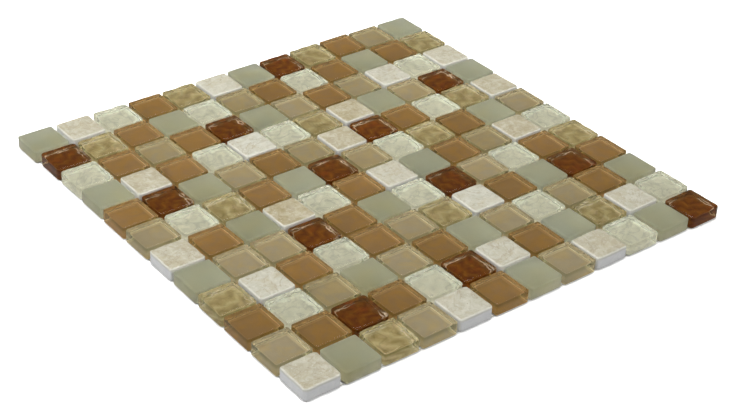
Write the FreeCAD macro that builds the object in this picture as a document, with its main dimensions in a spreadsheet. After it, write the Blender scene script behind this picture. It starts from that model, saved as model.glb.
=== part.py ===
# Mosaic tile sheet: square chips of stone and glass, glued by their backs to an open fibreglass mesh.
# Millimetres. The sheet lies flat with its chips' faces up: X runs along a row of chips, Y runs from
# the last row to the first, and the origin is the middle of the sheet on the floor that it lies on.
import FreeCAD, Part
import math
import os
import Sketcher
from FreeCAD import Placement, Rotation, Vector

# One letter for each chip and one line for each row, seen from above, with the first row at +Y.
# S stone, F frosted sage glass, O amber glass, T taupe glass, and rippled glass in W white, G gold, B brown.
LAYOUT = (
    "FSWOGSFBGOTF",
    "BGOFWTOWOFOG",
    "WOTOBFTOTSWS",
    "FSOWSWGSFTBF",
    "OBFTOTSBOWGS",
    "TWGOFBTWGOFT",
    "SOFSWOSFOTSW",
    "FTTBOFWBTWOG",
    "GSOWOTGSOFBO",
    "OWTFTOFTWTOF",
    "TOBOWBSOFGSW",
    "SFGTSOFTSWFB",
)
ROWS = len(LAYOUT)
COLUMNS = len(LAYOUT[0])

# Driving dimensions: name, millimetres, what it is
SIZES = (
    ("chip_side", 23.0, "side of every chip"),
    ("joint_gap", 2.0, "open joint between two chips"),
    ("chip_thickness", 8.0, "chip from its glued back to the mean height of its face"),
    ("stone_corner", 1.8, "flat worn across a stone chip's upright corner"),
    ("stone_arris", 0.9, "flat worn along a stone chip's upper and lower edges"),
    ("frosted_corner", 1.1, "flat across a frosted chip's upright corner"),
    ("frosted_arris", 0.8, "softened upper edge of a frosted chip"),
    ("clear_corner", 0.9, "flat across a clear chip's upright corner"),
    ("clear_arris", 0.45, "ground upper edge of a clear chip"),
    ("ripple_corner", 1.6, "flat across a rippled chip's upright corner"),
    ("ripple_arris", 0.7, "softened upper edge of a rippled chip"),
    ("white_pull", 0.9, "how far the points that pull a white chip's face into ripples stand off it"),
    ("gold_pull", 0.85, "the same for a gold chip"),
    ("brown_pull", 0.55, "the same for a brown chip"),
    ("white_wave", 8.0, "crest to crest on a white chip"),
    ("gold_wave", 9.0, "crest to crest on a gold chip"),
    ("brown_wave", 10.5, "crest to crest on a brown chip"),
    ("thread_pitch", 5.0, "mesh thread to mesh thread"),
    ("thread_width", 0.9, "flattened width of a mesh thread"),
    ("thread_thickness", 0.25, "height of one layer of mesh threads"),
    ("mesh_margin", 1.0, "mesh cut back from the edge of the sheet"),
)
PITCH = "(Sizes.chip_side + Sizes.joint_gap)"
CHIP_SEAT = "(2 * Sizes.thread_thickness)"  # a chip's back lies on the upper layer of threads

# Shape of the rippled faces, in numbers that aren't lengths
CROSS_WAVE = 0.45  # height of the crossing wave as a share of the main one
CREST_BEND = 1.1  # how far the crests wander, in radians of the main wave
WANDER = 0.6  # the crests wander this many times for each main wave
CUTS = ((25.0, 0.4), (-40.0, 2.3))  # two chips cut from the pane: crest direction in degrees, phase
FACE_POINTS = 9  # points along each side of the net that pulls a rippled face
FACE_MARGIN = 1.05  # the rippled face is drawn this much wider than the chip that it shapes
NEAR = 1e-6  # two places this close, in millimetres, are the same

doc = FreeCAD.newDocument("mosaic_tile_sheet")


def make_sizes():
    """The driving dimensions as named cells, which sketches, features and placements read."""
    sheet = doc.addObject("Spreadsheet::Sheet", "Sizes")
    for row, (name, length, meaning) in enumerate(SIZES, start=1):
        sheet.set(f"A{row}", meaning)
        sheet.set(f"B{row}", str(length))
        sheet.setAlias(f"B{row}", name)
    doc.recompute()
    return sheet


sizes = make_sizes()


def size(name):
    """A driving dimension as a plain number."""
    return float(getattr(sizes, name))


def pad_rectangle(name, length, width, height):
    """A body of one pad: a rectangle of length along X by width along Y about the origin, raised by height."""
    body = doc.addObject("PartDesign::Body", name)
    sketch = body.newObject("Sketcher::SketchObject", f"{name}_outline")
    plane = next(f for f in body.Origin.OriginFeatures if f.Role == "XY_Plane")
    sketch.AttachmentSupport = (plane, "")
    sketch.MapMode = "FlatFace"
    corners = [Vector(-5, -5, 0), Vector(5, -5, 0), Vector(5, 5, 0), Vector(-5, 5, 0)]
    directions = ("Horizontal", "Vertical", "Horizontal", "Vertical")
    for start, end in zip(corners, corners[1:] + corners[:1]):
        sketch.addGeometry(Part.LineSegment(start, end))
    for line, direction in enumerate(directions):
        sketch.addConstraint(Sketcher.Constraint("Coincident", line, 2, (line + 1) % 4, 1))
        sketch.addConstraint(Sketcher.Constraint(direction, line))
    sketch.addConstraint(Sketcher.Constraint("Symmetric", 0, 1, 2, 1, -1, 1))
    along = sketch.addConstraint(Sketcher.Constraint("DistanceX", 0, 1, 0, 2, 10.0))
    across = sketch.addConstraint(Sketcher.Constraint("DistanceY", 1, 1, 1, 2, 10.0))
    sketch.setExpression(f"Constraints[{along}]", length)
    sketch.setExpression(f"Constraints[{across}]", width)
    pad = body.newObject("PartDesign::Pad", f"{name}_pad")
    pad.Profile = sketch
    pad.setExpression("Length", height)
    doc.recompute()
    return body


def upright(edge):
    """True for an edge that stands along Z."""
    first, last = edge.Vertexes[0].Point, edge.Vertexes[-1].Point
    return (last - first).cross(Vector(0, 0, 1)).Length < NEAR


def at_height(edge, height):
    """True for an edge that lies level at this height."""
    return all(abs(v.Point.z - height) < NEAR for v in edge.Vertexes)


def ease_edges(body, name, wanted, expression):
    """Cut a flat along the edges of the body that wanted picks."""
    base = body.Tip
    edges = [f"Edge{i}" for i, edge in enumerate(base.Shape.Edges, start=1) if wanted(edge)]
    cut = body.newObject("PartDesign::Chamfer", name)
    cut.Base = (base, edges)
    cut.setExpression("Size", expression)
    doc.recompute()


def flat_chip(name, corner, arris, worn_below=False):
    """A chip with a flat face: a square pad, eased at its upright corners, then along its other edges."""
    body = pad_rectangle(name, "Sizes.chip_side", "Sizes.chip_side", "Sizes.chip_thickness")
    top = size("chip_thickness")
    ease_edges(body, f"{name}_corners", upright, corner)
    ease_edges(body, f"{name}_upper_edges", lambda edge: at_height(edge, top), arris)
    if worn_below:
        ease_edges(body, f"{name}_lower_edges", lambda edge: at_height(edge, 0.0), arris)
    return body


def ripple(x, y, pull, wave, direction, phase):
    """Height of the ripples' net at a point: a main wave with wandering crests and a crossing one."""
    turn = math.radians(direction)
    across = x * math.cos(turn) + y * math.sin(turn)
    along = y * math.cos(turn) - x * math.sin(turn)
    rate = 2 * math.pi / wave
    main = math.sin(rate * across + CREST_BEND * math.sin(WANDER * rate * along + phase))
    crossing = math.cos(rate * along + 2 * phase)
    return pull * (main + CROSS_WAVE * crossing)


def ripple_cutter(name, pull, wave, direction, phase):
    """All that stands above a rippled face: one Bezier surface pulled by a square net of points, raised."""
    reach = FACE_MARGIN * size("chip_side") / 2
    stops = [reach * (2 * i / (FACE_POINTS - 1) - 1) for i in range(FACE_POINTS)]
    surface = Part.BezierSurface()
    surface.increase(FACE_POINTS - 1, FACE_POINTS - 1)
    for column, x in enumerate(stops, start=1):
        for row, y in enumerate(stops, start=1):
            height = size("chip_thickness") + ripple(x, y, pull, wave, direction, phase)
            surface.setPole(column, row, Vector(x, y, height))
    cutter = doc.addObject("Part::Feature", name)
    cutter.Shape = surface.toShape().extrude(Vector(0, 0, size("chip_thickness")))
    return cutter


def rippled_chips(name, pull, wave):
    """The chips of one rippled glass: for each cut from its pane, a square blank under a rippled face."""
    chips = []
    for number, (direction, phase) in enumerate(CUTS, start=1):
        blank_name = f"{name}_blank_{number}"
        top = size("chip_thickness") + size(pull)
        blank = pad_rectangle(
            blank_name, "Sizes.chip_side", "Sizes.chip_side", f"Sizes.chip_thickness + Sizes.{pull}"
        )
        ease_edges(blank, f"{blank_name}_corners", upright, "Sizes.ripple_corner")
        ease_edges(
            blank,
            f"{blank_name}_upper_edges",
            lambda edge: at_height(edge, top),
            f"Sizes.ripple_arris + Sizes.{pull}",
        )
        chip = doc.addObject("Part::Cut", f"{name}_{number}")
        chip.Base = blank
        chip.Tool = ripple_cutter(f"{name}_ripples_{number}", size(pull), size(wave), direction, phase)
        chips.append(chip)
    doc.recompute()
    return chips


def copy_at(name, original, x, y, z, turn=0.0):
    """A linked copy of a piece, turned in degrees about Z, with its place read from the sizes."""
    copy = doc.addObject("App::Link", name)
    copy.LinkedObject = original
    copy.Placement = Placement(Vector(), Rotation(Vector(0, 0, 1), turn))
    copy.setExpression(".Placement.Base.x", x)
    copy.setExpression(".Placement.Base.y", y)
    copy.setExpression(".Placement.Base.z", z)
    return copy


def gather(node, copies):
    """One node of the sheet: the copies of a piece, as solids that don't touch."""
    group = doc.addObject("Part::Compound", node)
    group.Label = node
    group.Links = copies
    return group


def lay_chips(node, letter, originals):
    """The chips of one kind on the sheet. Each next one takes the next original and a further quarter turn."""
    copies = []
    for row, line in enumerate(LAYOUT):
        for column, kind in enumerate(line):
            if kind != letter:
                continue
            x = f"({column} - {(COLUMNS - 1) / 2}) * {PITCH}"
            y = f"({(ROWS - 1) / 2} - {row}) * {PITCH}"
            count = len(copies)
            original = originals[count % len(originals)]
            turn = 90.0 * (count // len(originals) % 4)
            copies.append(copy_at(f"{node}_{count + 1}", original, x, y, CHIP_SEAT, turn))
    return gather(node, copies)


def mesh_length(chips):
    """Length of the mesh across this many chips, as an expression and as a number."""
    expression = f"({chips} * {PITCH} - Sizes.joint_gap - 2 * Sizes.mesh_margin)"
    number = chips * (size("chip_side") + size("joint_gap")) - size("joint_gap") - 2 * size("mesh_margin")
    return expression, number


def lay_threads(node, run, spread, across, layer):
    """One layer of the mesh: as many threads as fit the spread at their pitch, each as long as the run."""
    length = mesh_length(run)[0]
    count = int((mesh_length(spread)[1] - size("thread_width")) / size("thread_pitch")) + 1
    sides = ("Sizes.thread_width", length) if across else (length, "Sizes.thread_width")
    thread = pad_rectangle(f"{node}_thread", sides[0], sides[1], "Sizes.thread_thickness")
    copies = []
    for number in range(count):
        offset = f"({number} - {(count - 1) / 2}) * Sizes.thread_pitch"
        x, y = (offset, "0") if across else ("0", offset)
        height = f"{layer} * Sizes.thread_thickness"
        copies.append(copy_at(f"{node}_{number + 1}", thread, x, y, height))
    return gather(node, copies)


def build():
    """Every node of the sheet."""
    stone = flat_chip("stone_chip", "Sizes.stone_corner", "Sizes.stone_arris", worn_below=True)
    frosted = flat_chip("frosted_chip", "Sizes.frosted_corner", "Sizes.frosted_arris")
    clear = flat_chip("clear_chip", "Sizes.clear_corner", "Sizes.clear_arris")
    nodes = [
        lay_chips("stone_chips", "S", [stone]),
        lay_chips("frosted_sage_chips", "F", [frosted]),
        lay_chips("amber_chips", "O", [clear]),
        lay_chips("taupe_chips", "T", [clear]),
        lay_chips("white_ripple_chips", "W", rippled_chips("white_chip", "white_pull", "white_wave")),
        lay_chips("gold_ripple_chips", "G", rippled_chips("gold_chip", "gold_pull", "gold_wave")),
        lay_chips("brown_ripple_chips", "B", rippled_chips("brown_chip", "brown_pull", "brown_wave")),
        lay_threads("mesh_warp_threads", run=ROWS, spread=COLUMNS, across=True, layer=0),
        lay_threads("mesh_weft_threads", run=COLUMNS, spread=ROWS, across=False, layer=1),
    ]
    doc.recompute()
    return nodes


def check(nodes):
    """Stop if any object failed or any node isn't whole."""
    failed = [o.Name for o in doc.Objects if "Invalid" in o.State or "Error" in o.State]
    broken = [n.Label for n in nodes if n.Shape.isNull() or not n.Shape.isValid()]
    if failed or broken:
        raise RuntimeError(f"failed objects {failed}, broken nodes {broken}")


def write(nodes):
    """One STEP file for each node."""
    os.makedirs("parts", exist_ok=True)
    for node in nodes:
        node.Shape.exportStep(f"parts/{node.Label}.step")
        print(node.Label, len(node.Shape.Solids), "solids", round(node.Shape.Volume), "mm3")


nodes = build()
check(nodes)
write(nodes)
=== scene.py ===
import math

import bpy
import numpy as np
from mathutils import Matrix, Vector


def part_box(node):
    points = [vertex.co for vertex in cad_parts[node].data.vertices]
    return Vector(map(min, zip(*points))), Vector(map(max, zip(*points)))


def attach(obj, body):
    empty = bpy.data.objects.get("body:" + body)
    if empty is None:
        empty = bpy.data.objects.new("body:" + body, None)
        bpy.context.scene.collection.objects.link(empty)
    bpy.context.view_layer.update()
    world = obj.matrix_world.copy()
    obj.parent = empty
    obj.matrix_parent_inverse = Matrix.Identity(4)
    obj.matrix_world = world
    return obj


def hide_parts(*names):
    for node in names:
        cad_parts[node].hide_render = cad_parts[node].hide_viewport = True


MM = 0.001

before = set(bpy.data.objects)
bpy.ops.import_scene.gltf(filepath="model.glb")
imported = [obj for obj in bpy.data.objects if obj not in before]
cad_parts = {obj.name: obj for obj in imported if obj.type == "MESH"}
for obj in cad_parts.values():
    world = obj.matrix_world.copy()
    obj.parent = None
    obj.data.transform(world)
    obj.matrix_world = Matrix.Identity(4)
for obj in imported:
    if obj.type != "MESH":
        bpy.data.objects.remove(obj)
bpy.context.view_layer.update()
print("nodes", sorted(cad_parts))

# %% [markdown]
# ## The camera
# The sheet is seen corner on, from a little above. The view comes first, because every finish is
# judged through it. A camera could be aimed by a Track To constraint, but a view with a slight roll is
# simpler as a matrix: its columns are the directions right, up and back, and the camera's own place.
# %% Place the camera
VIEW_AZIMUTH = math.radians(-38.756)
VIEW_ELEVATION = math.radians(32.843)
VIEW_ROLL = math.radians(2.357)
VIEW_DISTANCE = 934 * MM
VIEW_TARGET = Vector((-24.7, -36.9, 8.5)) * MM
LENS = 79.5
SENSOR_WIDTH = 36
NEAREST_SEEN = 10 * MM


def towards(azimuth, elevation):
    """Unit vector from the sheet to a place at this azimuth, 0 being in front along -Y, and elevation."""
    level = math.cos(elevation)
    return Vector((math.sin(azimuth) * level, -math.cos(azimuth) * level, math.sin(elevation)))


back = towards(VIEW_AZIMUTH, VIEW_ELEVATION)
level_right = (-back).cross(Vector((0, 0, 1))).normalized()
level_up = level_right.cross(-back)
right = math.cos(VIEW_ROLL) * level_right + math.sin(VIEW_ROLL) * level_up
up = math.cos(VIEW_ROLL) * level_up - math.sin(VIEW_ROLL) * level_right
camera_data = bpy.data.cameras.new("camera")
camera_data.lens = LENS
camera_data.sensor_width = SENSOR_WIDTH
camera_data.clip_start = NEAREST_SEEN
camera = bpy.data.objects.new("camera", camera_data)
bpy.context.scene.collection.objects.link(camera)
turned = Matrix((right, up, back)).transposed().to_4x4()
camera.matrix_world = Matrix.Translation(VIEW_TARGET + back * VIEW_DISTANCE) @ turned
bpy.context.scene.camera = camera
bpy.context.scene.view_settings.view_transform = "Standard"
print("camera at", [round(x, 3) for x in camera.matrix_world.translation])

# %% [markdown]
# ## The light
# Glass shows its own colour only while nothing bright is mirrored in its face. So the room is dim, and
# the light comes from wide soft boxes: one high above, and two lower ones on the camera's side, which
# also reach into the joints. The high box has a narrowed beam, aimed past the sheet's far side, because
# the photo's far chips are a little brighter than its near ones. A lamp with a small face would do the
# same, but it would put hard sparks on the ripples.
# %% Hang the soft boxes
# Name, azimuth and elevation in degrees, distance, width and height in metres, beam in degrees, the
# point aimed at in millimetres, and watts.
LAMPS = (
    ("overhead_box", 150, 78, 1.2, 1.5, 1.0, 95, (100, 400, 0), 7.9),
    ("left_box", -105, 38, 2.6, 1.6, 1.6, 180, (0, 0, 0), 41.0),
    ("right_box", 5, 38, 3.0, 1.8, 1.8, 180, (0, 0, 0), 44.0),
)
for name, azimuth, elevation, distance, width, height, beam, aim, watts in LAMPS:
    lamp_data = bpy.data.lights.new(name, "AREA")
    lamp_data.shape = "RECTANGLE"
    lamp_data.size = width
    lamp_data.size_y = height
    lamp_data.energy = watts
    lamp_data.spread = math.radians(beam)
    lamp = bpy.data.objects.new(name, lamp_data)
    bpy.context.scene.collection.objects.link(lamp)
    direction = towards(math.radians(azimuth), math.radians(elevation))
    lamp.location = direction * distance
    lamp.rotation_mode = "QUATERNION"
    lamp.rotation_quaternion = (lamp.location - Vector(aim) * MM).to_track_quat("Z", "Y")
    print(name, watts, "W")

# %% [markdown]
# ## A helper for nodes
# A finish is a small graph of nodes. It could be wired by hand in the shader editor. In code one short
# helper is enough: it makes a node, and gives each input a plain value or the output that feeds it.
# %% Make a node in one line


def add(tree, kind, inputs=None, **settings):
    """A new node of a finish. Each input is given a plain value, or an output to link."""
    made = tree.nodes.new(kind)
    for key, value in settings.items():
        setattr(made, key, value)
    for key, value in (inputs or {}).items():
        if isinstance(value, bpy.types.NodeSocket):
            tree.links.new(value, made.inputs[key])
        else:
            made.inputs[key].default_value = value
    return made


print("node maker ready")

# %% [markdown]
# ## Words for the common nodes
# The same few nodes turn up in every finish: a colour between two others, a value stretched onto
# another range, a step of arithmetic. They could be written out each time, but with a short word for
# each a finish reads like a recipe.
# %% Name the common nodes
MIX_SHARE, MIX_FIRST, MIX_SECOND, MIX_RESULT = 0, 6, 7, 2


def mixed(tree, share, first, second):
    """A colour between two others: the first at share 0, the second at share 1. The Mix node has
    sockets of the same name for every type of value, so its colour ones go by number."""
    colours = [c if isinstance(c, bpy.types.NodeSocket) else (*c, 1) for c in (first, second)]
    inputs = {MIX_SHARE: share, MIX_FIRST: colours[0], MIX_SECOND: colours[1]}
    return add(tree, "ShaderNodeMix", inputs, data_type="RGBA").outputs[MIX_RESULT]


def spread(tree, value, low, high, to_low=0.0, to_high=1.0):
    """A value stretched from the range low to high onto another range, and held at its ends."""
    inputs = {"Value": value, "From Min": low, "From Max": high, "To Min": to_low, "To Max": to_high}
    return add(tree, "ShaderNodeMapRange", inputs).outputs[0]


def reckon(tree, operation, *values):
    """One step of arithmetic on one or two values."""
    return add(tree, "ShaderNodeMath", dict(enumerate(values)), operation=operation).outputs[0]


def apart(tree, first, second):
    """How far two values are from each other."""
    return reckon(tree, "ABSOLUTE", reckon(tree, "SUBTRACT", first, second))


def scaled(tree, colour, amount):
    """A colour times a number."""
    inputs = {"Vector": colour, "Scale": amount}
    return add(tree, "ShaderNodeVectorMath", inputs, operation="SCALE").outputs[0]


print("words for nodes ready")

# %% [markdown]
# ## Patterns
# A pattern needs a place to read. Object coordinates, in metres, don't slide when the object moves, and
# they need no unwrapping. Where a pattern follows a chip's own shape, its points carry values instead,
# such as how far in from the wall they are.
# %% Read places, noise and values


def places(tree):
    """Object coordinates, in metres."""
    return add(tree, "ShaderNodeTexCoord").outputs["Object"]


def height_at(tree, where):
    """The height of a place, in metres."""
    return add(tree, "ShaderNodeSeparateXYZ", {0: where}).outputs["Z"]


def reading(tree, name):
    """The value of one of the piece's own attributes."""
    return add(tree, "ShaderNodeAttribute", attribute_name=name).outputs["Fac"]


def speckle(tree, where, scale, detail=2.0, roughness=0.5, distortion=0.0):
    """Soft noise from 0 to 1, with about this many lumps in a metre."""
    inputs = {
        "Vector": where,
        "Scale": scale,
        "Detail": detail,
        "Roughness": roughness,
        "Distortion": distortion,
    }
    return add(tree, "ShaderNodeTexNoise", inputs).outputs["Fac"]


NOISE_MIDDLE = 0.5


def winding(tree, where, scale, detail, roughness, distortion):
    """How far soft noise is from its middle: 0 along thin winding lines, such as veins and creases."""
    return apart(tree, speckle(tree, where, scale, detail, roughness, distortion), NOISE_MIDDLE)


print("patterns ready")

# %% [markdown]
# ## A new finish
# Each finish is one Principled shader with patterns on its inputs. Grain too fine for the mesh is a
# bump: it tilts the light on the surface, and moves nothing.
# %% Start a finish and grain it


def new_finish(name):
    """A material with one Principled shader: the material, its tree of nodes and that shader."""
    material = bpy.data.materials.new(name)
    material.use_nodes = True
    return material, material.node_tree, material.node_tree.nodes["Principled BSDF"]


def grain(tree, shader, pattern, strength, depth):
    """Tilt the light as if the pattern stood up from the surface by this depth."""
    inputs = {"Height": pattern, "Strength": strength, "Distance": depth}
    bump = add(tree, "ShaderNodeBump", inputs)
    tree.links.new(bump.outputs[0], shader.inputs["Normal"])


print("finish helpers ready")

# %% [markdown]
# ## The room
# The background is plain white, but a white room would be mirrored in every chip. Light Path tells the
# rays of the camera from the others, so only the camera sees the room as white.
# %% Paint the room
ROOM_LIGHT = 0.08
WHITE = (1, 1, 1, 1)

world = bpy.data.worlds.new("room")
world.use_nodes = True
bpy.context.scene.world = world
room = world.node_tree
seen = add(room, "ShaderNodeLightPath").outputs["Is Camera Ray"]
room.links.new(spread(room, seen, 0, 1, ROOM_LIGHT, 1.0), room.nodes["Background"].inputs["Strength"])
room.nodes["Background"].inputs["Color"].default_value = WHITE
print("room", world.name, "gives light of strength", ROOM_LIGHT)

# %% [markdown]
# ## The floor
# The floor is a plain board. To the camera it is far brighter than it is to the rest of the scene, so
# that it reaches white and keeps the sheet's soft shadow, without washing out the glass from below.
# Further out, where the lamps don't reach, the camera sees it fade into the room's white, so a low view
# has no grey horizon.
# %% Lay the floor
FLOOR_HALF = 6.0
FLOOR_DEPTH = -0.2 * MM
FLOOR_COLOUR = 0.25
FLOOR_SEEN = 1.2
FADE_START = 0.45
FADE_END = 0.85


def floor_finish():
    """A matt board, brighter to the camera, which fades to glowing white with the distance."""
    board = bpy.data.materials.new("floor_board")
    board.use_nodes = True
    tree = board.node_tree
    tree.nodes.remove(tree.nodes["Principled BSDF"])
    camera_ray = add(tree, "ShaderNodeLightPath").outputs["Is Camera Ray"]
    shade = mixed(tree, camera_ray, (FLOOR_COLOUR,) * 3, (FLOOR_SEEN,) * 3)
    matt = add(tree, "ShaderNodeBsdfDiffuse", {"Color": shade}).outputs[0]
    glow = add(tree, "ShaderNodeEmission", {"Color": WHITE, "Strength": 1.0}).outputs[0]
    distance = add(tree, "ShaderNodeVectorMath", {0: places(tree)}, operation="LENGTH").outputs["Value"]
    fade = reckon(tree, "MULTIPLY", spread(tree, distance, FADE_START, FADE_END), camera_ray)
    surface = add(tree, "ShaderNodeMixShader", {0: fade, 1: matt, 2: glow}).outputs[0]
    tree.links.new(surface, tree.nodes["Material Output"].inputs["Surface"])
    return board


floor_mesh = bpy.data.meshes.new("floor")
corners = np.array([(-1, -1, 0), (1, -1, 0), (1, 1, 0), (-1, 1, 0)]) * FLOOR_HALF
floor_mesh.from_pydata((corners + (0, 0, FLOOR_DEPTH)).tolist(), [], [(0, 1, 2, 3)])
floor_mesh.materials.append(floor_finish())
floor = bpy.data.objects.new("floor", floor_mesh)
bpy.context.scene.collection.objects.link(floor)
print("floor", 2 * FLOOR_HALF, "m wide")

# %% [markdown]
# ## Where the chips lie
# The order of the chips is in the CAD nodes already, so it isn't written down again. Every chip fills
# one square of the 25 mm grid, so the points of a node, sorted into those squares, give its chips'
# middles. Chips laid by hand never sit quite true, so each gets a small shift and turn. A few have
# slipped further before the glue set, most of all the two at the sheet's left corner.
# %% Read the places from the nodes
CHIPS_ACROSS = 12
PITCH = 25 * MM
SHIFT = 0.22 * MM
TURN = math.radians(0.55)
# Column and row of the square, counted from the sheet's middle, and the slip in millimetres.
SLIPPED = {
    (-6, 5): (-1.7, 1.1),
    (-5, 5): (-1.1, 0.9),
    (2, 5): (0.6, 0.8),
    (3, 5): (0.6, 0.8),
    (-1, 3): (0.4, -0.8),
    (5, -5): (0.7, -0.6),
    (5, -6): (-0.3, -1.1),
}
random = np.random.default_rng(12)


def chip_middles(node):
    """The middle of every chip in a CAD node: the squares of the grid that hold its points."""
    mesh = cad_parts[node].data
    points = np.empty(len(mesh.vertices) * 3, np.float32)
    mesh.vertices.foreach_get("co", points)
    squares = np.unique(np.floor(points.reshape(-1, 3)[:, :2] / PITCH).astype(int), axis=0)
    return (squares + 0.5) * PITCH


def lay_out(node):
    """For every chip in a node: its middle, with a small random shift or its slip, and a small turn."""
    middles = chip_middles(node)
    shifts = random.uniform(-SHIFT, SHIFT, middles.shape)
    squares = np.floor(middles / PITCH).astype(int)
    for square, slip in SLIPPED.items():
        shifts[(squares == square).all(1)] = np.array(slip) * MM
    turns = random.uniform(-TURN, TURN, len(middles))
    return middles + shifts, turns


print("stone chips", len(chip_middles("stone_chips")))

# %% [markdown]
# ## One outline for every chip
# Seen from above a chip is a square with rounded corners. Any such outline is one formula: go to the
# middle of the nearest corner's arc, then step out by the arc's radius. Both parts are worked out once
# for unit size. A row of insets and radii then gives nested outlines, and a height for each makes them
# the rings of a closed surface, from the middle of the face, over the edge and down the wall, to the
# middle of the back.
# %% Work out the rounded square
chips_low, chips_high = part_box("amber_chips")
SEAT, TOP = chips_low[2], chips_high[2]
HALF = (chips_high[0] - chips_low[0] - (CHIPS_ACROSS - 1) * PITCH) / 2
CORNERS = 4


def rounded_square(arc_steps, side_steps):
    """Points round an outline, anticlockwise, as two arrays. Spots: the corner's arc middle, as a
    share of the straight half side, sliding along each side. Ways: the direction outwards."""
    turn = np.linspace(0, math.pi / 2, arc_steps + 1)
    slide = 1 - 2 * np.linspace(0, 1, side_steps + 1)[1:-1]
    spots = np.concatenate([np.ones((len(turn), 2)), np.stack([slide, np.ones_like(slide)], -1)])
    ways = np.concatenate([
        np.stack([np.cos(turn), np.sin(turn)], -1),
        np.tile((0.0, 1.0), (len(slide), 1)),
    ])
    quarter = np.array([(0, -1), (1, 0)])
    turns = [np.linalg.matrix_power(quarter, k) for k in range(CORNERS)]
    spots, ways = [np.concatenate([array @ t.T for t in turns]) for array in (spots, ways)]
    return spots, ways


def nested(spots, ways, insets, radii):
    """Outlines inside each other, rings by points: (half side - inset - radius) * spot + radius * way."""
    straight = HALF - insets - radii
    return straight[:, None, None] * spots + radii[:, None, None] * ways


outline = rounded_square(arc_steps=6, side_steps=4)
print("points round a chip", len(outline[0]), "half side", round(HALF / MM, 2), "mm")

# %% [markdown]
# ## The chip's profile
# The profile says how the rings step in and down. At the face's edge and at the back's edge it follows
# a quarter of a circle, because moulded glass and tumbled stone have no sharp edge. Inside the edge
# the rings keep the outline's shape and only shrink.
# %% Work out the profile
ARC_STEPS = 5
WALL_STEPS = 3
ROUNDING = 1e-9


def chip_profile(corner, edge, lower_edge, face_rings, back_rings, arc_steps=ARC_STEPS):
    """Inset, height and corner radius of every ring, from the face to the back. Insets on the face and
    back are given. Round the face's edge, of radius e, the inset is e(1 - sin) and the drop e(1 - cos)
    of a quarter turn, and round the back's edge it is the other way about."""
    quarter = np.linspace(0, math.pi / 2, arc_steps + 1)
    down = np.linspace(TOP - edge, SEAT + lower_edge, WALL_STEPS + 1)[1:-1]
    insets = [
        np.array(face_rings),
        edge * (1 - np.sin(quarter)),
        np.zeros_like(down),
        lower_edge * (1 - np.cos(quarter)),
        np.array(back_rings),
    ]
    heights = [
        np.full(len(face_rings), TOP),
        TOP - edge * (1 - np.cos(quarter)),
        down,
        SEAT + lower_edge * (1 - np.sin(quarter)),
        np.full(len(back_rings), SEAT),
    ]
    inset, height = np.concatenate(insets), np.concatenate(heights)
    limit = np.where(height > (TOP + SEAT) / 2, edge, lower_edge)
    true_radius = corner - inset
    shrunk = (corner - limit) * (HALF - inset) / (HALF - limit)
    radius = np.where(inset <= limit + ROUNDING, true_radius, shrunk)
    return inset, height, radius


heights = chip_profile(1.0 * MM, 0.5 * MM, 0.4 * MM, face_rings=(3 * MM,), back_rings=(3 * MM,))[1]
print("rings", len(heights), "from", round(heights[0] / MM, 2), "to", round(heights[-1] / MM, 2), "mm")

# %% [markdown]
# ## From rings to faces
# Two rings side by side leave a band of four-sided faces, and a fan of triangles closes each end. The
# faces' corner numbers are the same for every chip, so they are worked out once and moved on by one
# chip's count of points for each next chip.
# %% Number the corners of the faces


def band_faces(chips, rings, around):
    """Corner numbers of the bands, chips by bands by faces by 4, and of the two fans, by 3. The rings'
    points come first, then the pole of the face, then the pole of the back."""
    start = np.arange(chips)[:, None, None] * (rings * around + 2)
    here = np.arange(around)
    after = (here + 1) % around
    upper, lower = np.arange(rings - 1)[:, None] * around, np.arange(1, rings)[:, None] * around
    bands = np.stack([upper + here, lower + here, lower + after, upper + after], -1)
    top, bottom = np.full(around, rings * around), np.full(around, rings * around + 1)
    last = (rings - 1) * around
    top_fan = np.stack([top, here, after], -1)
    bottom_fan = np.stack([bottom, last + after, last + here], -1)
    return bands + start[..., None], top_fan + start, bottom_fan + start


print("faces of a small chip", sum(faces.size // faces.shape[-1] for faces in band_faces(1, 3, 8)))

# %% [markdown]
# ## One mesh for many chips
# A chip could be an object of its own, copied 144 times. One mesh for each kind is lighter and keeps
# the sheet tidy: the points and the corner numbers go in as whole arrays. Values on the points, such as
# the distance from the wall, go in the same way, for the finishes to read.
# %% Fill a mesh from arrays


def fill(mesh, points, corners, sizes):
    """Put the points into a mesh, and the faces: their corners in a row, and how many each face has."""
    mesh.vertices.add(len(points))
    mesh.vertices.foreach_set("co", points.astype(np.float32).ravel())
    mesh.loops.add(len(corners))
    mesh.loops.foreach_set("vertex_index", corners.astype(np.int32))
    mesh.polygons.add(len(sizes))
    mesh.polygons.foreach_set("loop_start", (np.cumsum(sizes) - sizes).astype(np.int32))


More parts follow.
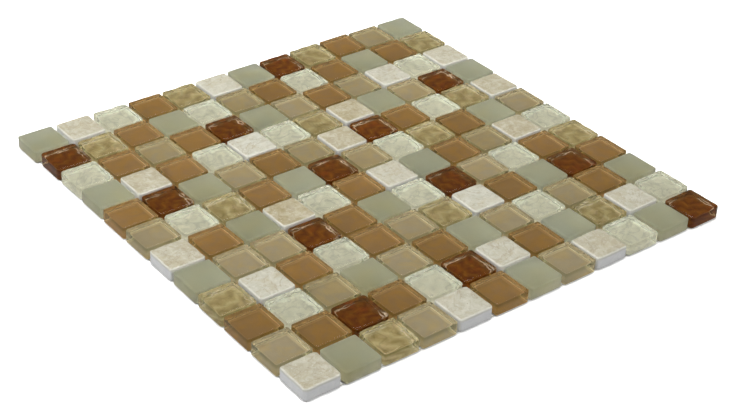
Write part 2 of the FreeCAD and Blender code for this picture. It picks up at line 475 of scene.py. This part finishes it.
def make_piece(name, points, poles, layers, attributes):
    """A piece from rings of points, chips by rings by points round by 3, and the poles, chips by 2
    by 3. Layers is the finish number of each band. Each attribute is a pair: the values of the ring
    points, and those of the poles."""
    chips, rings, around, _ = points.shape
    bands, top_fan, bottom_fan = band_faces(chips, rings, around)
    everything = np.concatenate([points.reshape(chips, -1, 3), poles], 1).reshape(-1, 3)
    corners = np.concatenate([bands.ravel(), top_fan.ravel(), bottom_fan.ravel()])
    quads, triangles = bands.size // 4, 2 * chips * around
    finish = np.concatenate([
        np.broadcast_to(np.array(layers)[None, :, None], bands.shape[:3]).ravel(),
        np.full(chips * around, layers[0]),
        np.full(chips * around, layers[-1]),
    ])
    mesh = bpy.data.meshes.new(name)
    fill(mesh, everything, corners, np.concatenate([np.full(quads, 4), np.full(triangles, 3)]))
    mesh.polygons.foreach_set("material_index", finish.astype(np.int32))
    mesh.polygons.foreach_set("use_smooth", np.ones(quads + triangles, bool))
    mesh.update(calc_edges=True)
    mesh.validate()
    for label, (values, at_poles) in attributes.items():
        full = np.broadcast_to(values, (chips, rings, around)).reshape(chips, -1)
        ends = np.broadcast_to(at_poles, (chips, 2))
        column = np.concatenate([full, ends], 1).astype(np.float32)
        mesh.attributes.new(label, "FLOAT", "POINT").data.foreach_set("value", column.ravel())
    piece = bpy.data.objects.new(name, mesh)
    bpy.context.scene.collection.objects.link(piece)
    print(name, chips, "pieces", 2 * quads + triangles, "triangles")
    return piece


print("mesh filler ready")

# %% [markdown]
# ## Laying the chips
# Every chip is worked out at the middle of the sheet, and then turned about its own middle and moved
# to its place. A loop could do it chip by chip, but whole arrays do all of them in one step.
# %% Turn and move the chips


def place(level, height, middles, turns):
    """Level places, chips by rings by points by 2, turned about each chip's own middle and moved to it,
    with the heights as the third number."""
    cos, sin = np.cos(turns)[:, None, None], np.sin(turns)[:, None, None]
    x, y = level[..., 0], level[..., 1]
    turned_x = x * cos - y * sin + middles[:, 0, None, None]
    turned_y = x * sin + y * cos + middles[:, 1, None, None]
    return np.stack([turned_x, turned_y, np.broadcast_to(height, turned_x.shape)], -1)


def poles_of(middles, top, bottom):
    """The middle point of each chip's face and back."""
    ends = np.empty((len(middles), 2, 3))
    ends[..., :2] = middles[:, None]
    ends[:, 0, 2] = top
    ends[:, 1, 2] = bottom
    return ends


print("a chip lies from", round(SEAT / MM, 2), "to", round(TOP / MM, 2), "mm")

# %% [markdown]
# ## What a chip's rings carry
# The finishes read two values from the points: how far in from the wall they are, and a random tone
# that makes each chip a little different. Each band of faces also gets the number of its finish. They
# could be picked by hand in edit mode, but the rings already know where they lie.
# %% Number the bands and seat the piece
POLE_INSET = 10.0
FACE, WALL, BACK = 0, 1, 2


def own_values(inset, chips):
    """What the finishes read: each ring's inset in millimetres as edge, and one random tone a chip."""
    tone = random.uniform(0, 1, chips)
    return {
        "edge": (inset[None, :, None] / MM, POLE_INSET),
        "tone": (tone[:, None, None], tone[:, None]),
    }


def three_sides(height, edge, back_count):
    """The finish of every band of a glass chip: face, with the arc of its edge, then wall, then back,
    with the arc of the lower edge."""
    bands = len(height) - 1
    wall_top = int(np.argmax(height <= TOP - edge + ROUNDING))
    wall_end = bands - back_count - ARC_STEPS
    return [FACE] * wall_top + [WALL] * (wall_end - wall_top) + [BACK] * (bands - wall_end)


def on_sheet(piece, node):
    """The piece stands for its CAD node, which is hidden, and rides on the sheet."""
    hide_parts(node)
    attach(piece, "root")


print("finishes: face", FACE, "wall", WALL, "back", BACK)

# %% [markdown]
# ## Tumbled stone chips
# The cream marble chips are cut square and then tumbled, which rounds their edges unevenly. A bevel
# would make every edge the same. Here a few slow waves round the outline push each chip's wall in and
# out by tenths of a millimetre and wear its upper edge down more in some places than in others.
# %% Shape the stone chips
STONE_CORNER = 2.0 * MM
STONE_EDGE = 1.1 * MM
STONE_LOWER_EDGE = 0.8 * MM
STONE_FACE_RINGS = np.array((9, 6, 4, 2.6, 1.8)) * MM
STONE_BACK_RINGS = (3 * MM, 7 * MM)
STONE_ARC_STEPS = 6
LEAST_LOSS = 0.06 * MM
WALL_WOBBLE = 0.14 * MM
EDGE_WEAR = 0.2 * MM
WEAR_REACH = 3 * MM
SHOULDER = 1.2 * MM


def slow_waves(chips, around, waves, low, high):
    """Random bumpiness round an outline, chips by points, from about -1 to 1: a sum of sines with
    whole numbers of waves between low and high, each with its own strength and start."""
    angle = np.linspace(0, 2 * math.pi, around, endpoint=False)
    count = random.integers(low, high, (chips, waves, 1))
    start = random.uniform(0, 2 * math.pi, (chips, waves, 1))
    strength = random.uniform(0.3, 1.0, (chips, waves, 1)) / math.sqrt(waves)
    return (strength * np.sin(count * angle + start)).sum(1)


def stone_chips():
    """The rings of a plain chip, each moved inwards by the waves, more the nearer it is to the wall,
    and its upper edge lowered by further waves."""
    middles, turns = lay_out("stone_chips")
    spots, ways = rounded_square(arc_steps=6, side_steps=10)
    inset, height, radius = chip_profile(
        STONE_CORNER, STONE_EDGE, STONE_LOWER_EDGE, STONE_FACE_RINGS, STONE_BACK_RINGS, STONE_ARC_STEPS
    )
    level = nested(spots, ways, inset, radius)
    chips, around = len(middles), len(spots)
    nearness = np.clip(1 - inset / WEAR_REACH, 0, 1)[None, :, None]
    wobble = slow_waves(chips, around, waves=5, low=2, high=12)[:, None, :] * WALL_WOBBLE
    worn = np.abs(slow_waves(chips, around, waves=6, low=4, high=20))[:, None, :] * EDGE_WEAR
    shrink = (LEAST_LOSS + wobble) * nearness
    level = level[None] - shrink[..., None] * ways
    shoulder = np.exp(-(((height - TOP) / SHOULDER) ** 2))[None, :, None] * nearness
    lowered = height[None, :, None] - worn * shoulder
    points = place(level, lowered, middles, turns)
    layers = [0] * (len(inset) - 1)
    return make_piece("stone_tiles", points, poles_of(middles, TOP, SEAT), layers, own_values(inset, chips))


stone = stone_chips()
on_sheet(stone, "stone_chips")

# %% [markdown]
# ## The stone's finish
# Cream marble has soft clouds, a few thin rust and grey veins and tiny pits. Tumbling leaves the edges
# and walls chalky, whiter and a little cooler than the honed face. An image could hold all that, but
# noise has no seams and no two chips repeat.
# %% Colour the stone


def marble(tree, where, clouds, fine):
    """The honed face: clouds between two creams that differ with the chip's tone, warmer patches, thin
    veins along winding lines, pits where fine noise is lowest, and bright grains where it is highest."""
    tone = reading(tree, "tone")
    cream = mixed(tree, tone, (0.235, 0.19, 0.092), (0.393, 0.388, 0.322))
    light_cream = mixed(tree, tone, (0.398, 0.362, 0.262), (0.468, 0.463, 0.396))
    pale = mixed(tree, spread(tree, clouds, 0.40, 0.62), cream, light_cream)
    warm = spread(tree, speckle(tree, where, 90, 4, 0.6, 1.0), 0.45, 0.7, 0.0, 0.6)
    cloudy = mixed(tree, warm, pale, (0.34, 0.295, 0.19))
    vein = spread(tree, winding(tree, where, 48, 4, 0.6, 1.6), 0.0, 0.024, 0.6, 0.0)
    veined = mixed(tree, vein, cloudy, (0.25, 0.21, 0.14))
    pit = spread(tree, fine, 0.36, 0.27, 0.0, 0.8)
    pitted = mixed(tree, pit, veined, (0.17, 0.145, 0.09))
    sparkle = spread(tree, fine, 0.58, 0.72, 0.0, 0.6)
    return mixed(tree, sparkle, pitted, (0.52, 0.51, 0.45))


def chalk(tree, where, clouds):
    """The worn edges and sides: chalky cream near the top, and bruised, whiter stone below."""
    bruised = mixed(tree, spread(tree, clouds, 0.35, 0.65), (0.69, 0.695, 0.70), (0.80, 0.80, 0.785))
    near_top = spread(tree, height_at(tree, where), TOP - 2.4 * MM, TOP - 0.9 * MM)
    return mixed(tree, near_top, bruised, (0.575, 0.565, 0.495))


def stone_finish():
    """Marble on the face and chalk round it, with a ragged bound about a millimetre in from the wall."""
    material, tree, shader = new_finish("cream_marble")
    where = places(tree)
    clouds = speckle(tree, where, 190, 8, 0.72, 0.8)
    fine = speckle(tree, where, 650, 3, 0.7)
    ragged = reckon(tree, "ADD", reading(tree, "edge"), speckle(tree, where, 400, 3))
    worn = spread(tree, ragged, 0.7, 1.4, 1.0, 0.0)
    colour = mixed(tree, worn, marble(tree, where, clouds, fine), chalk(tree, where, clouds))
    tree.links.new(colour, shader.inputs["Base Color"])
    tree.links.new(spread(tree, fine, 0.2, 0.8, 0.62, 0.42), shader.inputs["Roughness"])
    grain(tree, shader, fine, strength=0.5, depth=0.06 * MM)
    return material


stone.data.materials.append(stone_finish())
print("stone finish on", stone.name)

# %% [markdown]
# ## What a glass chip is made of
# A glass chip is clear. Its colour is a coat on its back, seen through the glass, and its walls are
# the ground or moulded sides, where that coat's colour and the light of the joints gather. So a glass
# piece has three finishes: the face, the walls and the back. Light that enters really bends here, so
# the far walls show through the face as pale strips, as in a real chip. A colour painted on a solid
# block couldn't do that.
# %% Make clear glass for faces and walls
GLASS_IOR = 1.52
MIRRORED = (0.5, 0.5, 0.5, 1)


def make_clear(shader):
    """Let a shader pass all light and bend it as glass does, with a dimmed mirror image."""
    shader.inputs["Transmission Weight"].default_value = 1.0
    shader.inputs["IOR"].default_value = GLASS_IOR
    shader.inputs["Specular Tint"].default_value = MIRRORED


def face_finish(name, tint, roughness, dimple, edge_wear):
    """A clear face. Slow noise, dimple millimetres deep, tips it by a degree or less, and smears it by
    its roughness. Towards the edge it grows rougher by the edge's wear, so the edge has a soft glint."""
    material, tree, shader = new_finish(name)
    where = places(tree)
    shader.inputs["Base Color"].default_value = (*tint, 1)
    make_clear(shader)
    smear = spread(tree, speckle(tree, where, 160, 3), 0.3, 0.7, roughness, roughness * 1.8)
    worn = spread(tree, reading(tree, "edge"), 0.2, 1.2, edge_wear, 0.0)
    tree.links.new(reckon(tree, "ADD", smear, worn), shader.inputs["Roughness"])
    grain(tree, shader, speckle(tree, where, 120, 1), strength=1.0, depth=dimple * MM)
    return material


def wall_finish(name, upper, lower, roughness=0.1):
    """A wall: clear, and tinted in slow clouds. Its upper part, all that shows inside the sheet, is
    deeper in tint than its lower part: that deeper tint is painted shade in the joints between the chips."""
    material, tree, shader = new_finish(name)
    where = places(tree)
    make_clear(shader)
    clouds = speckle(tree, where, 220, 3, 0.6)
    # The upper wall's deeper tint is painted shade in the joints.
    tint = mixed(tree, spread(tree, height_at(tree, where), TOP - 4.0 * MM, TOP - 1.8 * MM), lower, upper)
    shade = spread(tree, clouds, 0.35, 0.65, 0.84, 1.0)
    tree.links.new(scaled(tree, tint, shade), shader.inputs["Base Color"])
    ground = spread(tree, clouds, 0.3, 0.7, roughness * 0.8, roughness * 1.2)
    tree.links.new(ground, shader.inputs["Roughness"])
    return material


print("glass IOR", GLASS_IOR)

# %% [markdown]
# ## The coat on the back
# The coat is brushed or sprayed on, so it is thin near the walls. There a paler rim shows: partly the
# thinner coat, and partly painted light, as the walls let light in there. A thin pale line follows the
# coat's own edge, where bare glass shows; on brown chips that line is a painted glint. The rim could be
# a ring of separate faces, but its bound wavers, so it is a pattern on the points' distance from the wall.
# %% Paint the coat and its rim
RIM = 1.9


def coat_line(tree, where, edge, wander):
    """How much of the coat's pale edge line shows: 1 along it, 0 from half a millimetre away. It
    strays in from the wall by up to wander millimetres, and a line that strays has gaps. On brown chips
    the line is a painted glint."""
    line_place = spread(tree, speckle(tree, where, 210, 3), 0.36, 0.68, 0.0, wander)
    line = spread(tree, apart(tree, edge, line_place), 0.25, 0.5, 1.0, 0.0)
    least = 0.0 if wander else 1.0
    presence = spread(tree, speckle(tree, where, 95, 2), 0.4, 0.55, least, 1.0)
    return reckon(tree, "MULTIPLY", line, presence)


def rimmed_coat(tree, where, middle, rim, edge_line, waver, soft=0.35, wander=0.0):
    """The coat's colour: the rim's near the wall, partly painted light, the middle's from 1.9 mm in, give
    or take soft, the pale edge line, and a slight painted shade just inside the rim. Waver moves the
    rim's bound in and out, in millimetres."""
    edge = reading(tree, "edge")
    inset = reckon(tree, "ADD", edge, waver)
    # The paler rim: a thinner coat, and partly painted light that the walls let in.
    two = mixed(tree, spread(tree, inset, RIM - soft, RIM + soft, 1.0, 0.0), middle, rim)
    # The pale edge line; on brown chips it is a painted glint.
    lined = mixed(tree, coat_line(tree, where, edge, wander), two, edge_line)
    # A slight painted shade just inside the rim.
    return scaled(tree, lined, spread(tree, inset, RIM + 0.2, RIM + 2.8, 0.94, 1.0))


def paint(tree, shader, colour):
    """Give a shader the coat's colour, as matt paint."""
    tree.links.new(colour, shader.inputs["Base Color"])
    shader.inputs["Roughness"].default_value = 0.6
    shader.inputs["Specular IOR Level"].default_value = 0.1


print("rim", RIM, "mm wide")

# %% [markdown]
# ## The coat of smooth glass
# A sprayed coat is never quite even. It could be one colour with noise on it, but two near tones in
# slow clouds, and lighter and darker finer ones, look more like paint seen through glass.
# %% Cloud the coat


def back_finish(name, middle, smoky, rim, edge_line, unevenness):
    """The coat of a smooth or frosted chip: a middle that drifts between two near colours in patches
    as wide as half a chip, the rim, and finer clouds of light and shade over both. One chip is a
    little lighter and cooler than the next."""
    material, tree, shader = new_finish(name)
    where = places(tree)
    clouds = speckle(tree, where, 110, 4, 0.6, 0.5)
    smoke = spread(tree, speckle(tree, where, 62, 3, 0.6, 1.2), 0.42, 0.58)
    body = mixed(tree, smoke, middle, smoky)
    rimmed = rimmed_coat(tree, where, body, rim, edge_line, spread(tree, clouds, 0, 1, -1.0, 1.0))
    light = mixed(tree, reading(tree, "tone"), (0.92, 0.91, 0.86), (1.06, 1.07, 1.12))
    hued = add(tree, "ShaderNodeVectorMath", {0: rimmed, 1: light}, operation="MULTIPLY").outputs[0]
    cloud_light = spread(tree, clouds, 0.3, 0.7, 1 - unevenness, 1 + unevenness)
    paint(tree, shader, scaled(tree, hued, cloud_light))
    return material


print("smooth coat ready")

# %% [markdown]
# ## Smooth and frosted glass chips
# These chips are flat, with edges softened in the kiln. The three kinds differ in how round their
# edges are and in their finishes, so one function makes all of them.
# %% Shape the flat glass chips


def flat_glass(name, node, corner=1.0 * MM, edge=0.5 * MM, lower_edge=0.45 * MM):
    """Every chip of a flat glass kind: the profile carried round the outline, laid at every place."""
    middles, turns = lay_out(node)
    spots, ways = rounded_square(arc_steps=6, side_steps=4)
    face_rings = np.array((7, 3, edge / MM + 0.4)) * MM
    back_rings = np.array((0.9, 1.6, 2.6, 4.0, 6.5)) * MM
    inset, height, radius = chip_profile(corner, edge, lower_edge, face_rings, back_rings)
    level = np.broadcast_to(nested(spots, ways, inset, radius), (len(middles), len(inset), len(spots), 2))
    points = place(level, height[None, :, None], middles, turns)
    layers = three_sides(height, edge, len(back_rings))
    attributes = own_values(inset, len(middles))
    piece = make_piece(name, points, poles_of(middles, TOP, SEAT), layers, attributes)
    on_sheet(piece, node)
    return piece


frosted = flat_glass(
    "frosted_sage_tiles", "frosted_sage_chips", corner=1.3 * MM, edge=0.9 * MM, lower_edge=0.6 * MM
)
amber = flat_glass("amber_tiles", "amber_chips")
taupe = flat_glass("taupe_tiles", "taupe_chips")

# %% [markdown]
# ## Finishes of the flat glass
# Frosted glass is etched with acid: its face blurs what lies behind, so its back shows as a soft
# patch and its rims glow. The smooth kinds only differ in colour. The numbers are deeper than the
# colours that show, because glass sends more than half of the light back to the coat.
# %% Colour the flat glass


def dress(piece, face, wall, coat):
    """The piece's three finishes, in the order that its bands are numbered."""
    for finish in (face, wall, coat):
        piece.data.materials.append(finish)
    print(piece.name, "wears", ", ".join(finish.name for finish in piece.data.materials))


dress(
    frosted,
    face_finish("etched_face", tint=(0.93, 0.98, 0.92), roughness=0.42, dimple=0.01, edge_wear=0.0),
    wall_finish("etched_wall", upper=(0.86, 0.89, 0.80), lower=(1.0, 1.0, 0.96), roughness=0.5),
    back_finish(
        "sage_back",
        middle=(0.345, 0.306, 0.172),
        smoky=(0.319, 0.311, 0.229),
        rim=(0.515, 0.488, 0.34),
        edge_line=(0.50, 0.47, 0.33),
        unevenness=0.03,
    ),
)
dress(
    amber,
    face_finish("amber_face", tint=(0.99, 1.0, 0.98), roughness=0.03, dimple=0.03, edge_wear=0.13),
    wall_finish("amber_wall", upper=(0.345, 0.35, 0.155), lower=(0.98, 0.98, 0.75)),
    back_finish(
        "amber_back",
        middle=(0.362, 0.196, 0.055),
        smoky=(0.322, 0.185, 0.07),
        rim=(0.45, 0.272, 0.097),
        edge_line=(0.80, 0.56, 0.28),
        unevenness=0.06,
    ),
)
dress(
    taupe,
    face_finish("taupe_face", tint=(0.99, 1.0, 0.98), roughness=0.03, dimple=0.03, edge_wear=0.13),
    wall_finish("taupe_wall", upper=(0.375, 0.43, 0.30), lower=(0.97, 0.99, 0.85)),
    back_finish(
        "taupe_back",
        middle=(0.454, 0.346, 0.172),
        smoky=(0.415, 0.335, 0.202),
        rim=(0.585, 0.48, 0.268),
        edge_line=(0.90, 0.80, 0.54),
        unevenness=0.06,
    ),
)

# %% [markdown]
# ## The ripples
# Rippled glass is rolled hot against a wavy bed and then cut, so each chip shows another piece of the
# same pattern. The ripples could be a Wave modifier, but a formula gives every chip its own piece: a
# main wave whose crests wander, and a weaker one across it. The ripples also gather light into bright
# lines on the coat below, as water does on the floor of a pool. Light gathers where the face curves
# like a lens, so the same formula, taken a little to each side, gives the brightness for the back.
# %% Work out the ripples
MAIN_SHARE, ACROSS_SHARE = 0.7, 0.3
GATHERING_STEP = 0.2


def ripple(x, y, wave, cut):
    """Height of the ripples from about -1 to 1. Along a slanting direction u: the sine of u plus a
    bend that depends on the direction v across it, plus a weaker sine along v bent by u. Cut holds
    each chip's slant and four random starts."""
    slant, a, b, c, d = [part[:, None, None] for part in cut]
    u = x * np.cos(slant) + y * np.sin(slant)
    v = y * np.cos(slant) - x * np.sin(slant)
    rate = 2 * math.pi / wave
    bend = 1.1 * np.sin(0.45 * rate * v + a) + 0.5 * np.sin(1.1 * rate * v + b)
    main = np.sin(rate * u + bend + c)
    across = np.sin(0.7 * rate * v + 0.8 * np.sin(0.6 * rate * u + b) + d)
    return MAIN_SHARE * main + ACROSS_SHARE * across


def gathering(x, y, wave, cut):
    """How strongly the ripples gather light at a point: four times the height there, less the heights
    a fifth of a wave away on four sides."""
    step = GATHERING_STEP * wave
    sides = [(step, 0), (-step, 0), (0, step), (0, -step)]
    round_about = sum(ripple(x + dx, y + dy, wave, cut) for dx, dy in sides)
    return 4 * ripple(x, y, wave, cut) - round_about


print("ripples ready, light read", GATHERING_STEP, "of a wave to each side")

# %% [markdown]
# ## Rippled glass chips
# The face is laid in rings about a millimetre apart, fine enough for the ripples to be real shape. Near
# the edge the hot glass has sagged a little. The wall has to meet both the face and the flat back, so
# it takes on the ripples at its top and loses them on the way down.
# %% Shape the rippled chips
FARTHEST_RING = 10.6
FACE_RING_STEP = -1.1
BACK_RING_STEP = 1.25
RIPPLED_LOWER_EDGE = 0.5 * MM
SAG_REACH = 4 * MM


def rippled_glass(name, node, depth, wave, corner=1.4 * MM, edge=0.7 * MM, sag=0.10 * MM):
    """Every chip of a rippled kind. The face's height is the top, plus the ripples, less a sag that
    grows with the square of the nearness to the wall. Down the wall both fade to nothing at its foot."""
    middles, turns = lay_out(node)
    chips, lower_edge = len(middles), RIPPLED_LOWER_EDGE
    spots, ways = rounded_square(arc_steps=5, side_steps=18)
    face_rings = np.arange(FARTHEST_RING, edge / MM + 0.3, FACE_RING_STEP) * MM
    back_rings = np.arange(lower_edge / MM + 0.5, FARTHEST_RING, BACK_RING_STEP) * MM
    inset, height, radius = chip_profile(corner, edge, lower_edge, face_rings, back_rings)
    level = np.broadcast_to(nested(spots, ways, inset, radius), (chips, len(inset), len(spots), 2))
    slants = random.integers(0, 4, chips) * math.pi / 2 + random.uniform(0.2, 0.8, chips)
    cut = np.concatenate([slants[None], random.uniform(0, 2 * math.pi, (4, chips))])
    x, y = level[..., 0], level[..., 1]
    share = np.clip((height - SEAT - lower_edge) / (TOP - edge - SEAT - lower_edge), 0, 1)[None, :, None]
    sagging = sag * np.clip(1 - inset / SAG_REACH, 0, 1)[None, :, None] ** 2
    lifted = height[None, :, None] + share * (depth * ripple(x, y, wave, cut) - sagging)
    points = place(level, lifted, middles, turns)
    origin = np.zeros((chips, 1, 1))
    crown = TOP + depth * ripple(origin, origin, wave, cut)[:, 0, 0]
    layers = three_sides(height, edge, len(back_rings))
    attributes = own_values(inset, chips)
    streaks = gathering(x, y, wave, cut)
    attributes["streak"] = (streaks, gathering(origin, origin, wave, cut)[:, 0])
    piece = make_piece(name, points, poles_of(middles, crown, SEAT), layers, attributes)
    on_sheet(piece, node)
    print("streaks from", round(float(streaks.min()), 2), "to", round(float(streaks.max()), 2))
    return piece


print("sag reaches", round(SAG_REACH / MM, 2), "mm in")

# %% [markdown]
# ## The three rippled kinds
# White and gold glass have tall ripples, and gold has the widest. Brown glass has low, close ripples
# and the roundest corners. One function makes all three.
# %% Roll and cut the three kinds
white = rippled_glass("white_ripple_tiles", "white_ripple_chips", depth=0.17 * MM, wave=8 * MM)
gold = rippled_glass("gold_ripple_tiles", "gold_ripple_chips", depth=0.19 * MM, wave=10 * MM)
brown = rippled_glass(
    "brown_ripple_tiles",
    "brown_ripple_chips",
    depth=0.09 * MM,
    wave=7 * MM,
    corner=2.2 * MM,
    edge=0.8 * MM,
    sag=0.08 * MM,
)

# %% [markdown]
# ## The coat under the ripples
# Under rippled glass the coat looks streaked, because the ripples gather and spread the light on it. A
# render could work that out ray by ray, at great cost. Here the back's colour goes from a shaded tone
# over its own to a bright one with the streak value of each point. Patches of a warmer tone, a few thin
# creases of painted shade and a rim that comes and goes keep the streaks from looking drawn.
# %% Streak the coat
WIDE_CREASES = (70, 0.05, 0.2)
THIN_CREASES = (150, 0.035, 0.08)


def creases(tree, where, scale, width, depth):
    """Thin winding lines of painted shade: 1 off the lines, and less by the depth on them."""
    return spread(tree, winding(tree, where, scale, 2, 0.5, 1.4), 0.0, width, 1 - depth, 1.0)


def streaked_tones(tree, where, shaded, middle, bright, noisiness):
    """Shaded, middle and bright tones by the streak value, with a little noise in it."""
    noise = spread(tree, speckle(tree, where, 260, 4, 0.65, 1.0), 0, 1, -noisiness, noisiness)
    value = reckon(tree, "ADD", reading(tree, "streak"), noise)
    lower = mixed(tree, spread(tree, value, -1.7, -0.2), shaded, middle)
    return mixed(tree, spread(tree, value, 0.4, 1.7), lower, bright)


def streaked_back(name, shaded, middle, bright, blush, rim, edge_line, wander, noisiness, uneven):
    """The coat under ripples: the streaked tones, a rim, patches of a blush, and creases of painted shade
    across them all. One chip is lighter than the next by up to uneven, each way."""
    material, tree, shader = new_finish(name)
    where = places(tree)
    tones = streaked_tones(tree, where, shaded, middle, bright, noisiness)
    waver = spread(tree, speckle(tree, where, 130, 3, 0.6), 0.3, 0.7, -1.6, 1.6)
    rimmed = rimmed_coat(tree, where, tones, rim, edge_line, waver, 1.0, wander)
    patches = spread(tree, speckle(tree, where, 125, 3, 0.6), 0.52, 0.72, 0.0, 0.7)
    blushed = mixed(tree, patches, rimmed, blush)
    # The creases are painted shade.
    wide, thin = creases(tree, where, *WIDE_CREASES), creases(tree, where, *THIN_CREASES)
    light = spread(tree, reading(tree, "tone"), 0, 1, 1 - uneven, 1 + uneven)
    shade = reckon(tree, "MULTIPLY", reckon(tree, "MULTIPLY", wide, thin), light)
    paint(tree, shader, scaled(tree, blushed, shade))
    return material


print("creases", WIDE_CREASES[0], "and", THIN_CREASES[0], "to the metre")

# %% [markdown]
# ## Colours of the rippled glass
# Only the colours are left to choose. White has the palest coat and gold an olive one, under faces
# with hardly a tint. Brown glass is deep red-brown in its walls too, so only its glints are pale.
# %% Colour the rippled glass
dress(
    white,
    face_finish("white_ripple_face", tint=(0.97, 1.0, 0.97), roughness=0.04, dimple=0.08, edge_wear=0.1),
    wall_finish("white_wall", upper=(0.66, 0.66, 0.57), lower=(0.98, 1.0, 0.98)),
    streaked_back(
        "white_back",
        shaded=(0.635, 0.612, 0.462),
        middle=(0.706, 0.675, 0.513),
        bright=(0.755, 0.727, 0.57),
        blush=(0.88, 0.82, 0.64),
        rim=(1.0, 1.0, 0.80),
        edge_line=(1.0, 1.0, 0.86),
        wander=0.9,
        noisiness=0.35,
        uneven=0.025,
    ),
)
dress(
    gold,
    face_finish("gold_ripple_face", tint=(0.98, 1.0, 0.96), roughness=0.04, dimple=0.08, edge_wear=0.1),
    wall_finish("gold_wall", upper=(0.345, 0.375, 0.25), lower=(0.88, 0.92, 0.92)),
    streaked_back(
        "gold_back",
        shaded=(0.325, 0.243, 0.094),
        middle=(0.45, 0.347, 0.15),
        bright=(0.59, 0.49, 0.262),
        blush=(0.61, 0.45, 0.247),
        rim=(0.695, 0.585, 0.305),
        edge_line=(0.90, 0.79, 0.56),
        wander=1.6,
        noisiness=0.5,
        uneven=0.05,
    ),
)
dress(
    brown,
    face_finish("brown_ripple_face", tint=(0.95, 0.86, 0.78), roughness=0.03, dimple=0.05, edge_wear=0.05),
    wall_finish("brown_wall", upper=(0.22, 0.095, 0.002), lower=(0.46, 0.34, 0.145)),
    streaked_back(
        "brown_back",
        shaded=(0.12, 0.036, 0.002),
        middle=(0.19, 0.063, 0.003),
        bright=(0.27, 0.105, 0.008),
        blush=(0.265, 0.065, 0.006),
        rim=(0.25, 0.125, 0.032),
        edge_line=(0.98, 0.84, 0.64),
        wander=1.3,
        noisiness=1.2,
        uneven=0.06,
    ),
)

# %% [markdown]
# ## The mesh
# The backing is an open net of flat glass-fibre yarns, woven over and under and stiffened with resin.
# The CAD model lays them straight, in two layers. Here each yarn is a flattened ring of points carried
# along a line that rises and dips at every crossing.
# %% Weave the yarns
YARN_PITCH = 5 * MM
YARN_HALF_WIDTH = 0.45 * MM
YARN_HALF_DEPTH = 0.11 * MM
YARN_RISE = 0.10 * MM
YARN_UNEVENNESS = 0.12
YARN_SIDES = 6


def yarns(name, node, along, start_side):
    """Every yarn of one direction. The path's height is the net's middle, plus a rise at one crossing
    and minus it at the next. The section is an ellipse, a little wider in some places than in others,
    and both ends are closed by a fan."""
    low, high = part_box(node)
    length = (high - low)[along]
    count = int(round(((high - low)[1 - along] - 2 * YARN_HALF_WIDTH) / YARN_PITCH)) + 1
    offsets = (np.arange(count) - (count - 1) / 2) * YARN_PITCH
    stops = int(round(length / YARN_PITCH))
    run = np.concatenate([[-length / 2], (np.arange(stops) - (stops - 1) / 2) * YARN_PITCH, [length / 2]])
    turn = np.arange(YARN_SIDES) * 2 * math.pi / YARN_SIDES
    side = np.where((np.arange(count)[:, None] + np.arange(len(run))[None] + start_side) % 2, 1.0, -1.0)
    middle = SEAT / 2 + YARN_RISE * side
    squeeze = 1 + YARN_UNEVENNESS * random.uniform(-1, 1, (count, len(run), 1))
    across = offsets[:, None, None] + YARN_HALF_WIDTH * squeeze * np.cos(turn)
    height = middle[..., None] + YARN_HALF_DEPTH * np.sin(turn)
    lengthwise = np.broadcast_to(run[None, :, None], across.shape)
    order = (across, lengthwise) if along else (lengthwise, across)
    points = np.stack([*order, height], -1)
    if along:
        points = points[:, ::-1]
    ends = points[:, [0, -1]].mean(2)
    tone = random.uniform(0, 1, count)
    attributes = {"tone": (tone[:, None, None], tone[:, None])}
    piece = make_piece(name, points, ends, [0] * (len(run) - 1), attributes)
    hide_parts(node)
    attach(piece, "root")
    return piece


warp = yarns("mesh_warp_yarns", "mesh_warp_threads", along=1, start_side=0)
weft = yarns("mesh_weft_yarns", "mesh_weft_threads", along=0, start_side=1)

# %% [markdown]
# ## The yarns' finish
# Glass fibre is white and a little shiny, and the resin that stiffens it holds some dust. The filaments
# are far too thin for a mesh, so fine noise stands for them, in colour, gloss and bump.
# %% Colour the yarns


def yarn_finish():
    """Off-white, darker between the filaments and yellower where dust sticks, with their grain as a
    bump."""
    material, tree, shader = new_finish("glass_fibre_yarn")
    where = places(tree)
    fibres = speckle(tree, where, 2600, 3, 0.6)
    dust = speckle(tree, where, 120, 3)
    clean = mixed(tree, spread(tree, fibres, 0.3, 0.7), (0.48, 0.47, 0.42), (0.66, 0.65, 0.60))
    colour = mixed(tree, spread(tree, dust, 0.5, 0.8, 0.0, 0.5), clean, (0.48, 0.45, 0.36))
    tree.links.new(colour, shader.inputs["Base Color"])
    tree.links.new(spread(tree, fibres, 0.3, 0.7, 0.6, 0.45), shader.inputs["Roughness"])
    grain(tree, shader, fibres, strength=0.6, depth=0.05 * MM)
    return material


fibre = yarn_finish()
warp.data.materials.append(fibre)
weft.data.materials.append(fibre)
print("yarns", warp.name, weft.name)
